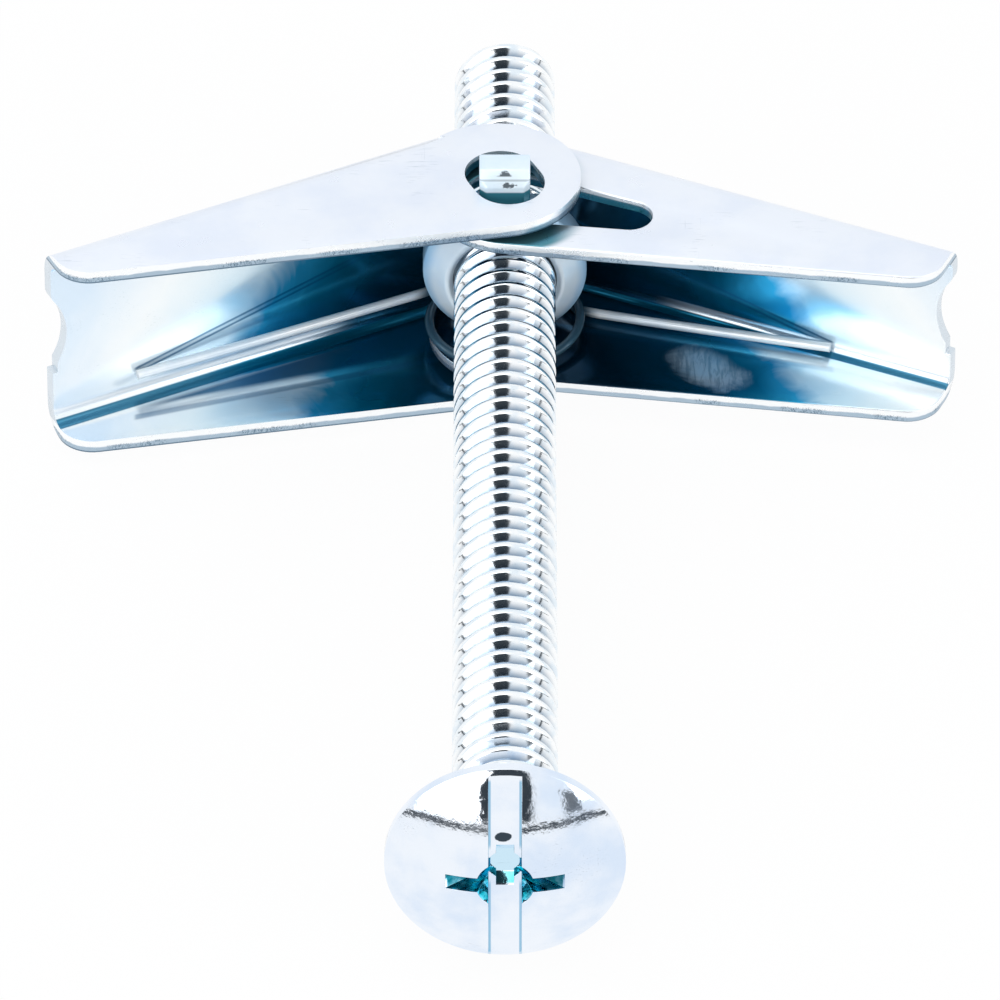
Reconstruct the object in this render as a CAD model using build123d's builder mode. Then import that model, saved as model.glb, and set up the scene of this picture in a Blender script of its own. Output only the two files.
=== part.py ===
from build123d import *
import math
import os

# Spring toggle bolt, lying on its side. Millimetres.
# The origin is the centre of the head's bearing face. +Y runs along the screw to its tip,
# the open wings spread along X and +Z is up.

# Screw
screw_diameter = 6.25
screw_length = 75.7
tip_chamfer = 0.75
head_diameter = 14.1
head_rim = 0.6
head_dome = 2.2
neck_fillet = 0.35
slot_width = 1.95
slot_depth = 2.0
cross_span = 6.95
cross_arm = 1.05
cross_depth = 2.5
cross_floor = 1.7
cross_tip_depth = 0.55
cross_funnel = 3.5

# Where the wings hinge, from the head's bearing face along the screw
pivot_distance = 56.1

# Folded sheet of both wings
sheet = 0.85
outer_wing_width = 13.9
nest_gap = 0.5
ear_radius = 5.2
ear_shift_along = 0.36
ear_shift_across = 0.5
free_edge_angle = 16.3
tip_corner = 2.2
web_start = 2.2

# What differs between the outer and the inner wing
outer_wing_length = 28.0
inner_wing_length = 27.15
outer_web_distance = 6.6
inner_web_distance = 6.95
outer_bend_inside = 1.0
inner_bend_inside = 0.7
outer_droop = 26.7
inner_droop = 24.15
pin_hole_width = 4.42
pin_hole_length = 5.5
pin_slot_radius = 2.5
pin_slot_end_radius = 1.42
pin_slot_reach = 7.85
pin_slot_angle = 9.4

# Round bite in the web's tip: smooth at its upper end, stepped at its lower end
bite_chord = 5.45
bite_depth = 1.0
bite_height = 0.55
bite_corner = 1.2
bite_step = 0.35
bite_step_height = 0.3

# Trunnion nut
nut_diameter = 10.06
nut_thickness = 3.1
nut_bevel_depth = 1.3
nut_bevel_width = 1.35
nut_ear_gap = 0.15
thread_clearance = 0.05
bore_chamfer = 0.25
pin_width = 3.1
pin_reach = 1.2
pin_edge_chamfer = 0.4
pin_end_chamfer = 0.8

# Torsion spring
wire_diameter = 0.6
coil_radius = 4.65
coil_gap_screw = 0.1
coil_pitch = 0.64
coil_points = 16
elbow_length = 0.8
leg_web_gap = 0.12
outer_leg_offset = 3.6
inner_leg_offset = 2.0
outer_leg_length = 22.5
inner_leg_length = 19.35
outer_leg_drop = 4.16
inner_leg_drop = 4.09

# Worked out from the sizes above
screw_radius = screw_diameter / 2
head_radius = head_diameter / 2
head_height = head_rim + head_dome
dome_radius = (head_radius**2 + head_dome**2) / (2 * head_dome)
inner_wing_width = outer_wing_width - 2 * (sheet + nest_gap)
inner_wing_opening = inner_wing_width - 2 * sheet
nut_height = inner_wing_opening - 2 * nut_ear_gap
pin_tip = outer_wing_width / 2 + pin_reach
wire_radius = wire_diameter / 2
pivot = Vector(0, pivot_distance, 0)
# Longer than any wing is deep or wide, for cuts that pass right through
clear_of_wing = outer_wing_width + inner_web_distance


def wing_plane(droop, side):
    """Plane through the hinge: x along the wing's bend, y toward its web. side is 1 for
    the wing on +X and -1 for the wing on -X."""
    angle = math.radians(droop)
    along = Vector(side * math.cos(angle), -math.sin(angle), 0)
    return Plane(origin=pivot, x_dir=along, z_dir=Vector(0, 0, side))


outer_plane = wing_plane(outer_droop, -1)
inner_plane = wing_plane(inner_droop, 1)

# Screw: shank with a chamfered tip under a low domed head
with BuildPart() as screw:
    with BuildSketch(Plane.XY):
        with BuildLine():
            rim = Line((head_radius, 0), (head_radius, -head_rim))
            dome = RadiusArc(rim @ 1, (0, -head_height), dome_radius)
            core = Line(dome @ 1, (0, screw_length))
            tip_face = Line(core @ 1, (screw_radius - tip_chamfer, screw_length))
            tip_bevel = Line(tip_face @ 1, (screw_radius, screw_length - tip_chamfer))
            flank = Line(tip_bevel @ 1, (screw_radius, neck_fillet))
            neck = RadiusArc(flank @ 1, (screw_radius + neck_fillet, 0), -neck_fillet)
            Line(neck @ 1, rim @ 0)
        make_face()
    revolve(axis=Axis.Y)
    # Straight slot right across the dome
    with BuildSketch(Plane.XY):
        with Locations((0, -head_height)):
            Rectangle(slot_width, 2 * slot_depth)
    extrude(amount=head_radius, both=True, mode=Mode.SUBTRACT)
    # Cross recess: two tapered arms, one along the slot and one across it
    for arm_plane in (Plane.XY, Plane.ZY):
        with BuildSketch(arm_plane):
            with BuildLine():
                Polyline(
                    (-cross_span / 2, -head_height),
                    (-cross_span / 2, cross_tip_depth - head_height),
                    (-cross_floor / 2, cross_depth - head_height),
                    (cross_floor / 2, cross_depth - head_height),
                    (cross_span / 2, cross_tip_depth - head_height),
                    (cross_span / 2, -head_height),
                    close=True,
                )
            make_face()
        extrude(amount=cross_arm / 2, both=True, mode=Mode.SUBTRACT)
    # Funnel where the arms meet
    with BuildSketch(Plane.XY):
        with BuildLine():
            Polyline(
                (0, -head_height),
                (cross_funnel / 2, -head_height),
                (cross_floor / 2, cross_depth - head_height),
                (0, cross_depth - head_height),
                close=True,
            )
        make_face()
    revolve(axis=Axis.Y, mode=Mode.SUBTRACT)
screw.part.label = "screw"

# Trunnion nut: bevelled round plate, flat above and below, with a square pin on each flat
nut_front = pivot_distance - nut_thickness / 2
bore_radius = screw_radius + thread_clearance
with BuildPart() as trunnion_nut:
    with BuildSketch(Plane.XY):
        with BuildLine():
            front_rim = Line((0, nut_front), (nut_diameter / 2 - nut_bevel_width, nut_front))
            bevel = Line(front_rim @ 1, (nut_diameter / 2, nut_front + nut_bevel_depth))
            side = Line(bevel @ 1, (nut_diameter / 2, nut_front + nut_thickness))
            back = Line(side @ 1, (0, nut_front + nut_thickness))
            Line(back @ 1, front_rim @ 0)
        make_face()
    revolve(axis=Axis.Y)
    nut_slab_plane = Plane(origin=pivot, x_dir=(1, 0, 0), z_dir=(0, 0, 1))
    with BuildSketch(nut_slab_plane):
        Rectangle(2 * nut_diameter, 2 * nut_thickness)
    extrude(amount=nut_height / 2, both=True, mode=Mode.INTERSECT)
    with BuildSketch(nut_slab_plane):
        Rectangle(pin_width, nut_thickness)
    extrude(amount=pin_tip, both=True)
    pin_ends = faces().filter_by(Plane.XY).group_by(Axis.Z)
    end_edges = pin_ends[0].edges() + pin_ends[-1].edges()
    chamfer(end_edges.filter_by(Axis.X), pin_end_chamfer)
    pin_corners = edges().filter_by(Axis.Z).filter_by(
        lambda corner: abs(corner.center().Z) > nut_height / 2
    )
    chamfer(pin_corners, pin_edge_chamfer)
    with BuildSketch(Plane.XZ.offset(-nut_front - nut_thickness)):
        Circle(bore_radius)
    extrude(amount=nut_thickness, mode=Mode.SUBTRACT)
    bore_rims = edges().filter_by(GeomType.CIRCLE).filter_by(
        lambda rim_edge: abs(rim_edge.radius - bore_radius) < thread_clearance
    )
    chamfer(bore_rims, bore_chamfer)
trunnion_nut.part.label = "trunnion_nut"


def make_wing(plane, length, width, web_distance, bend_inside, upper_hole, lower_hole):
    """Channel folded from one sheet: two tapered ears and the web that joins them."""
    bend_start = web_distance - sheet - bend_inside
    taper = math.radians(free_edge_angle)
    edge_start = Vector(
        ear_shift_along + ear_radius * math.sin(taper),
        ear_shift_across - ear_radius * math.cos(taper),
    )
    edge_end = (length, edge_start.Y + (length - edge_start.X) * math.tan(taper))
    section_plane = Plane(origin=pivot, x_dir=plane.y_dir, z_dir=plane.x_dir)
    web_plane = Plane(
        origin=pivot + plane.y_dir * web_distance, x_dir=plane.x_dir, z_dir=plane.y_dir
    )
    with BuildPart() as wing:
        # U section: web at the far side, two flanges, bends rounded inside and out
        with BuildSketch(section_plane):
            with Locations((web_distance, 0)):
                Rectangle(clear_of_wing, width, align=(Align.MAX, Align.CENTER))
            fillet(vertices().group_by(Axis.X)[-1], sheet + bend_inside)
            with BuildSketch(mode=Mode.PRIVATE) as hollow:
                with Locations((web_distance - sheet, 0)):
                    Rectangle(clear_of_wing, width - 2 * sheet, align=(Align.MAX, Align.CENTER))
                fillet(vertices().group_by(Axis.X)[-1], bend_inside)
            add(hollow.sketch, mode=Mode.SUBTRACT)
        extrude(amount=length)
        # Outline of the folded flanges, from the ear to the rounded tip
        with BuildSketch(plane):
            with BuildLine():
                Polyline(
                    (ear_shift_along, ear_shift_across),
                    edge_start,
                    edge_end,
                    (length, clear_of_wing),
                    (web_start, clear_of_wing),
                    (web_start, bend_start),
                    (ear_shift_along, bend_start),
                    close=True,
                )
            make_face()
            flange_tip = vertices().group_by(Axis.X)[-1].sort_by(Axis.Y)[0]
            fillet(flange_tip, tip_corner)
        extrude(amount=width, both=True, mode=Mode.INTERSECT)
        # Round ears
        for level in (width / 2 - sheet, -width / 2):
            with BuildSketch(plane.offset(level)):
                with Locations((ear_shift_along, ear_shift_across)):
                    Circle(ear_radius)
            extrude(amount=sheet)
        # Everything outside the web's tip, with the bite; y here is upward or downward
        # with the wing's side
        up = -plane.z_dir.Z
        bite_radius = (bite_chord**2 / 4 + bite_depth**2) / (2 * bite_depth)
        with BuildSketch(web_plane):
            with Locations((length, 0)):
                Rectangle(bite_chord, 2 * width, align=(Align.MIN, Align.CENTER))
            with Locations((length + bite_radius - bite_depth, up * bite_height)):
                Circle(bite_radius)
            bite_ends = vertices().group_by(Axis.X)[0].sort_by(Axis.Y)[1:-1]
            upper_end = bite_ends[-1] if up > 0 else bite_ends[0]
            fillet(upper_end, bite_corner)
            lower_end = bite_chord / 2 + bite_step_height
            step_align = Align.MAX if up > 0 else Align.MIN
            with Locations((length - bite_step, up * bite_height)):
                Rectangle(2 * bite_step, lower_end, align=(Align.MIN, step_align))
        extrude(amount=-2 * sheet, mode=Mode.SUBTRACT)
        extrude(upper_hole, amount=plane.z_dir.Z * width, mode=Mode.SUBTRACT)
        extrude(lower_hole, amount=-plane.z_dir.Z * width, mode=Mode.SUBTRACT)
    return wing


# Outer wing: oval pin holes in its ears
with BuildSketch(outer_plane) as pin_hole:
    SlotOverall(pin_hole_length, pin_hole_width, rotation=90)
outer_wing = make_wing(
    outer_plane,
    outer_wing_length,
    outer_wing_width,
    outer_web_distance,
    outer_bend_inside,
    pin_hole.sketch,
    pin_hole.sketch,
)
outer_wing.part.label = "outer_wing"

# Inner wing: a long tapered slot above, which lets a pin in, and a round hole below
slot_angle = math.radians(pin_slot_angle)
slot_end = (pin_slot_reach * math.cos(slot_angle), pin_slot_reach * math.sin(slot_angle))
with BuildSketch(inner_plane) as pin_slot:
    Circle(pin_slot_radius)
    with Locations(slot_end):
        Circle(pin_slot_end_radius)
    make_hull()
with BuildSketch(inner_plane) as pin_round:
    Circle(pin_slot_radius)
inner_wing = make_wing(
    inner_plane,
    inner_wing_length,
    inner_wing_width,
    inner_web_distance,
    inner_bend_inside,
    pin_slot.sketch,
    pin_round.sketch,
)
inner_wing.part.label = "inner_wing"


def leg_points(plane, reach, offset, web_distance, root_drop, tip_drop):
    """Both ends of a spring leg: where it leaves the coil, and its tip against the web.
    Offset is how far the leg passes from the hinge line."""
    tip_across = web_distance - sheet - leg_web_gap - wire_radius
    tip_distance = math.hypot(reach, tip_across)
    foot_angle = math.atan2(tip_across, reach) + math.acos(offset / tip_distance)
    run = math.sqrt(coil_radius**2 - offset**2)
    root_along = offset * math.cos(foot_angle) + run * math.sin(foot_angle)
    root_across = offset * math.sin(foot_angle) - run * math.cos(foot_angle)
    drop_side = -plane.z_dir.Z
    root = plane.from_local_coords((root_along, root_across, drop_side * root_drop))
    tip = plane.from_local_coords((reach, tip_across, drop_side * tip_drop))
    return root, tip


def angle_about_pivot(point):
    """Degrees from +X, seen from above."""
    return math.degrees(math.atan2(point.Y - pivot.Y, point.X - pivot.X))


# Torsion spring: a coil under the screw, and a straight leg along each wing
coil_drop = screw_radius + coil_gap_screw + wire_radius
outer_root, outer_tip = leg_points(
    outer_plane,
    outer_leg_length,
    outer_leg_offset,
    outer_web_distance,
    coil_drop,
    outer_leg_drop,
)
inner_root_level, inner_tip = leg_points(
    inner_plane,
    inner_leg_length,
    inner_leg_offset,
    inner_web_distance,
    coil_drop,
    inner_leg_drop,
)
coil_start = angle_about_pivot(outer_root)
coil_turns = 1 + (coil_start - angle_about_pivot(inner_root_level)) / 360
coil_height = coil_pitch * coil_turns
inner_root = inner_root_level - Vector(0, 0, coil_height)
coil_plane = Plane(
    origin=pivot - Vector(0, 0, coil_drop),
    x_dir=Vector(outer_root.X, outer_root.Y - pivot_distance, 0),
    z_dir=(0, 0, -1),
)
coil_line = coil_plane.location * Edge.make_helix(coil_pitch, coil_height, coil_radius)
outer_leg_way = (outer_root - outer_tip).normalized()
inner_leg_way = (inner_tip - inner_root).normalized()
# The coil is drawn through points, and each elbow takes a short length of wire at its end
bend_share = elbow_length / (2 * math.pi * coil_radius * coil_turns)
point_gap = (1 - 2 * bend_share) / coil_points
coil_path = [coil_line @ (bend_share + point_gap * step) for step in range(coil_points + 1)]
with BuildLine() as wire_line:
    outer_leg = Line(outer_tip, outer_root - outer_leg_way * elbow_length)
    inner_elbow = inner_root + inner_leg_way * elbow_length
    coil = Spline(
        outer_leg @ 1, *coil_path, inner_elbow, tangents=(outer_leg_way, inner_leg_way)
    )
    Line(coil @ 1, inner_tip)
with BuildPart() as torsion_spring:
    with BuildSketch(Plane(origin=outer_tip, z_dir=outer_leg_way)):
        Circle(wire_radius)
    sweep(path=wire_line.line)
torsion_spring.part.label = "torsion_spring"

os.makedirs("parts", exist_ok=True)
for piece in (screw, trunnion_nut, outer_wing, inner_wing, torsion_spring):
    export_step(piece.part, f"parts/{piece.part.label}.step")
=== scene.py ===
"""Looks of a spring toggle bolt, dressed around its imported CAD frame.

Every length in the classes is in millimetres, and is turned into metres where a mesh is made.
"""

import logging
import math
from contextlib import contextmanager
from dataclasses import dataclass
from enum import Enum
from functools import reduce
from typing import Iterator, Sequence, TypeVar

import bpy
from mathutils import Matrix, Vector


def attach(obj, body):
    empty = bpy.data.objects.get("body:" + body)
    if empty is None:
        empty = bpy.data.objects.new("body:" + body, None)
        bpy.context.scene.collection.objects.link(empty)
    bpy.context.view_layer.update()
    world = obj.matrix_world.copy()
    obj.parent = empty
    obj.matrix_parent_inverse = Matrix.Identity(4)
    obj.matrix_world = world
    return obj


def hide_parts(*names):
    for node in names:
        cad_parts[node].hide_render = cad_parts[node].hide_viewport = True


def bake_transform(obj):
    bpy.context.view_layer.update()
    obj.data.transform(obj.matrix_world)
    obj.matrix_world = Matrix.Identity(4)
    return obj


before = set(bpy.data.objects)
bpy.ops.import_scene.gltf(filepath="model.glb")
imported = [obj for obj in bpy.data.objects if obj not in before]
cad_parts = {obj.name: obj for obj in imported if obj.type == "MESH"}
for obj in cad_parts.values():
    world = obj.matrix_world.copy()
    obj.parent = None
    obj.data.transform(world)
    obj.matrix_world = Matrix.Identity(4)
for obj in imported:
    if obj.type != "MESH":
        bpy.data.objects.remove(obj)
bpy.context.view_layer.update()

MM = 0.001
log = logging.getLogger("toggle_bolt")

# Measures that several pieces share: where the wings' hinge crosses the screw, how thick their
# sheet is, how long they are from the hinge, and the outside radius of the thread.
PIVOT = 56.1
SHEET = 0.85
WING_LENGTH = 28.0
CREST_RADIUS = 3.125

Colour = tuple[float, float, float]
Point = tuple[float, float, float]
Pair = tuple[float, float]
Stops = Sequence[tuple[float, Colour]]


def srgb(red: float, green: float, blue: float) -> tuple[float, float, float, float]:
    """Turn a screen colour into the linear colour that shaders read.

    Args:
        red: Screen value from 0 to 255, like the other two.
        green: The green one.
        blue: The blue one.

    Returns:
        The linear colour, with full opacity.
    """
    linear = []
    for value in (red, green, blue):
        share = value / 255
        linear.append(share / 12.92 if share <= 0.04045 else ((share + 0.055) / 1.055) ** 2.4)
    return (*linear, 1.0)


Term = "Value | float"


class Value:
    """One output socket, on which Python's operators add Math nodes."""

    def __init__(self, graph: "Graph", socket: bpy.types.NodeSocket) -> None:
        """Keep the socket and the graph it belongs to."""
        self.graph = graph
        self.socket = socket

    def _math(self, operation: str, first: Term, second: Term) -> "Value":
        """Add a Math node on two values or numbers."""
        return self.graph.node("ShaderNodeMath", {"operation": operation}, {0: first, 1: second})

    def __add__(self, other: Term) -> "Value":
        """Sum."""
        return self._math("ADD", self, other)

    def __sub__(self, other: Term) -> "Value":
        """Difference."""
        return self._math("SUBTRACT", self, other)

    def __rsub__(self, other: float) -> "Value":
        """Difference with the number first."""
        return self._math("SUBTRACT", other, self)

    def __mul__(self, other: Term) -> "Value":
        """Product."""
        return self._math("MULTIPLY", self, other)

    def __truediv__(self, other: Term) -> "Value":
        """Quotient."""
        return self._math("DIVIDE", self, other)

    def __pow__(self, other: float) -> "Value":
        """Power."""
        return self._math("POWER", self, other)

    def __abs__(self) -> "Value":
        """Size without sign."""
        return self._math("ABSOLUTE", self, 0.0)

    def at_least(self, other: Term) -> "Value":
        """The larger of this and the other."""
        return self._math("MAXIMUM", self, other)

    def square_sum(self, other: "Value") -> "Value":
        """Square of the distance whose two parts are this and the other."""
        return self * self + other * other

    def hypot(self, other: "Value") -> "Value":
        """Distance whose two parts are this and the other."""
        return self.square_sum(other) ** 0.5

    def oval(self, other: "Value", middle: Pair, half: Pair) -> "Value":
        """Square of how far a point is from an oval's middle.

        Args:
            other: The point's second coordinate; this value is the first.
            middle: The oval's middle.
            half: Half of the oval's width, both ways.

        Returns:
            The square, which is 1 on the oval.
        """
        return ((self - middle[0]) / half[0]).square_sum((other - middle[1]) / half[1])

    def between(self, low: float, high: float) -> "Value":
        """Smooth ramp of this value.

        Args:
            low: Where the ramp is 0.
            high: Where the ramp is 1; below low for a falling ramp.

        Returns:
            The ramp's value, from 0 to 1.
        """
        start, end = (0.0, 1.0) if high > low else (1.0, 0.0)
        inputs = {"Value": self, "From Min": min(low, high), "From Max": max(low, high)}
        inputs |= {"To Min": start, "To Max": end}
        return self.graph.node(
            "ShaderNodeMapRange", {"interpolation_type": "SMOOTHSTEP"}, inputs
        )

    def above(self, limit: float, soft: float) -> "Value":
        """Mask that is 1 above a limit, and soft so far on both sides of it."""
        return self.between(limit - soft, limit + soft)

    def below(self, limit: float, soft: float) -> "Value":
        """Mask that is 1 below a limit, and soft so far on both sides of it."""
        return self.between(limit + soft, limit - soft)


class Graph:
    """The node tree of a material or the world."""

    def __init__(self, tree: bpy.types.NodeTree) -> None:
        """Start from an empty tree."""
        self.tree = tree
        tree.nodes.clear()

    def node(
        self,
        kind: str,
        settings: dict[str, object],
        inputs: dict[int | str, object],
        output: int | str | None = 0,
    ) -> Value | None:
        """Add any node.

        Args:
            kind: The node's type.
            settings: Properties, set first.
            inputs: Values or links of its sockets.
            output: The output that is used next, if there is one.

        Returns:
            That output.
        """
        made = self.tree.nodes.new(kind)
        for name, setting in settings.items():
            setattr(made, name, setting)
        for name, value in inputs.items():
            if isinstance(value, Value):
                self.tree.links.new(value.socket, made.inputs[name])
            else:
                made.inputs[name].default_value = value
        return None if output is None else Value(self, made.outputs[output])

    def ramp(self, share: Value, stops: Stops) -> Value:
        """Colour that runs through stops.

        Args:
            share: Where along the run, from 0 to 1.
            stops: Rising places from 0 to 1, each with its screen colour.

        Returns:
            The colour.
        """
        colour = self.node("ShaderNodeValToRGB", {}, {"Fac": share})
        elements = colour.socket.node.color_ramp.elements
        while len(elements) < len(stops):
            elements.new(1.0)
        for element, (place, screen) in zip(elements, stops):
            element.position = place
            element.color = srgb(*screen)
        return colour

    def axes(self) -> tuple[Value, Value, Value]:
        """X, Y and Z of the point that is shaded, in millimetres.

        Returns:
            The three values.
        """
        place = self.node("ShaderNodeTexCoord", {}, {}, "Object")
        grow = {0: place, "Scale": 1 / MM}
        grown = self.node("ShaderNodeVectorMath", {"operation": "SCALE"}, grow)
        return tuple(
            self.node("ShaderNodeSeparateXYZ", {}, {0: grown}, axis) for axis in ("X", "Y", "Z")
        )

    def noise(
        self, size: Point, detail: float = 3.0, roughness: float = 0.55, distortion: float = 0.0
    ) -> Value:
        """Noise whose grains have the given size.

        Args:
            size: Grain in millimetres along X, Y and Z.
            detail: Number of finer layers.
            roughness: Weight of the finer layers.
            distortion: How far the grains are dragged.

        Returns:
            Noise from 0 to 1.
        """
        place = self.node("ShaderNodeTexCoord", {}, {}, "Object")
        scale = tuple(1 / (MM * part) for part in size)
        scaled = self.node("ShaderNodeMapping", {}, {"Vector": place, "Scale": scale})
        grains = {"Detail": detail, "Roughness": roughness, "Distortion": distortion}
        return self.node("ShaderNodeTexNoise", {}, {"Vector": scaled, "Scale": 1.0, **grains})

    def mix(self, share: Value, first: object, second: object) -> Value:
        """Colour between two colours.

        Args:
            share: 0 for the first, 1 for the second.
            first: Linear colour or link.
            second: Linear colour or link.

        Returns:
            The mixed colour.
        """
        return self.node(
            "ShaderNodeMix", {"data_type": "RGBA"}, {0: share, 6: first, 7: second}, 2
        )

    def paint(self, share: Value, under: Value, colour: Colour) -> Value:
        """Lay a screen colour over what is there.

        Args:
            share: Where it is laid and how strongly, from 0 to 1.
            under: The colour that is there.
            colour: The screen colour.

        Returns:
            The painted colour.
        """
        return self.mix(share, under, srgb(*colour))

    def light_path(self, kind: str) -> Value:
        """Whether the ray that asks is of a kind, such as "Is Camera Ray"."""
        return self.node("ShaderNodeLightPath", {}, {}, kind)

    def output(self, surface: Value, kind: str = "ShaderNodeOutputMaterial") -> None:
        """Give the tree its surface."""
        self.node(kind, {}, {"Surface": surface}, None)


Measure = TypeVar("Measure", float, Value)


@dataclass(frozen=True)
class WingAxes:
    """A wing's own directions, which lean with its bend.

    Args:
        side: 1 for the wing on +X, -1 for the wing on -X.
        droop: Angle of the wing's bend in degrees.
    """

    side: int
    droop: float

    @property
    def tip_direction(self) -> Vector:
        """Direction from the hinge to the wing's tip."""
        angle = math.radians(self.droop)
        return Vector((self.side * math.cos(angle), -math.sin(angle), 0))

    def local(self, across: Measure, past_hinge: Measure) -> tuple[Measure, Measure]:
        """Distances from the hinge toward the wing's tip and toward its web.

        Args:
            across: Place along X.
            past_hinge: Place along the screw, from the hinge.

        Returns:
            Both distances.
        """
        sine = math.sin(math.radians(self.droop))
        cosine = math.cos(math.radians(self.droop))
        toward_tip = across * (self.side * cosine) - past_hinge * sine
        toward_web = across * (self.side * sine) + past_hinge * cosine
        return toward_tip, toward_web


@dataclass(frozen=True)
class Zinc:
    """Bright zinc plate: a tone with soft clouding, fine grain and handling scratches.

    Args:
        name: The material's name.
        tone: Screen colour of the clean plate.
        cloud: Screen colour of its duller clouds.
        roughness: Roughness of the clean plate.
        scratches: How strong the scratches are, from 0 to 1.
        metallic: How much of the light is mirrored rather than scattered.
        ripple: Height of the slow ripple that bends reflections.
        ripple_size: Width of that ripple.
    """

    SCRATCHED = (118, 140, 160)
    GRAIN_SIZE = 0.12
    GRAIN_HEIGHT = 0.6
    SCRATCH_DEPTH = 1.5
    BUMP_STRENGTH = 0.22
    BUMP_HEIGHT = 0.006
    DULLING = 0.14
    SCRATCH_DULLING = 0.2

    name: str
    tone: Colour
    cloud: Colour
    roughness: float = 0.24
    scratches: float = 0.35
    metallic: float = 0.75
    ripple: float = 0.0
    ripple_size: float = 0.7

    def toned(self, graph: Graph, share: Value) -> Value:
        """Colour between the clean plate and its clouds."""
        return graph.mix(share, srgb(*self.tone), srgb(*self.cloud))

    def colour(self, graph: Graph) -> Value:
        """Base colour before scratches.

        Args:
            graph: The material's nodes.

        Returns:
            The colour.
        """
        return self.toned(graph, graph.noise((5.0, 5.0, 5.0), detail=4.0).between(0.38, 0.68))

    def scratch_mask(self, graph: Graph) -> Value:
        """Short thin scratches that lie in two directions.

        Args:
            graph: The material's nodes.

        Returns:
            Mask from 0 to 1.
        """
        patches = graph.noise((3.5, 3.5, 3.5), detail=2.0).between(0.56, 0.66)
        lines = graph.noise((1.6, 0.07, 0.07), detail=2.0, distortion=0.4).between(0.63, 0.69)
        crossing = graph.noise((0.07, 1.8, 0.09), detail=2.0, distortion=0.3).between(0.65, 0.70)
        return patches * lines.at_least(crossing * 0.3) * self.scratches

    def material(self) -> bpy.types.Material:
        """Build the material.

        Returns:
            The new material.
        """
        made = bpy.data.materials.new(self.name)
        made.use_nodes = True
        graph = Graph(made.node_tree)
        scratches = self.scratch_mask(graph)
        colour = graph.paint(scratches, self.colour(graph), self.SCRATCHED)
        dulling = graph.noise((2.2, 2.2, 2.2), detail=5.0) - 0.5
        roughness = dulling * self.DULLING + scratches * self.SCRATCH_DULLING + self.roughness
        grain = graph.noise((self.GRAIN_SIZE,) * 3, detail=3.0)
        ripple = graph.noise((self.ripple_size,) * 3, detail=2.0)
        height = grain * self.GRAIN_HEIGHT - scratches * self.SCRATCH_DEPTH + ripple * self.ripple
        relief = {"Strength": self.BUMP_STRENGTH, "Distance": self.BUMP_HEIGHT * MM}
        bump = graph.node("ShaderNodeBump", {}, {**relief, "Height": height})
        looks = {"Base Color": colour, "Metallic": self.metallic, "Roughness": roughness}
        graph.output(graph.node("ShaderNodeBsdfPrincipled", {}, {**looks, "Normal": bump}))
        return made


@dataclass(frozen=True)
class ChannelLook:
    """Where the painted shade and the other colours in a wing's channel lie.

    Args:
        leg_reach: How far along X the spring's leg ends.
        web_lead: How much nearer the nut the web turns pale.
        flange_lead: The same for the flange, at its bend.
        flange_slope: How fast that falls from the bend to the free edge.
        image_strength: Strength of the leg's painted reflection and shadow in the flange, from 0 to
            1.
        patch_strength: Strength of the pale streaked patch in the flange, from 0 to 1.
    """

    leg_reach: float
    web_lead: float = 0.5
    flange_lead: float = 3.6
    flange_slope: float = 0.3
    image_strength: float = 0.92
    patch_strength: float = 0.0


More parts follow.
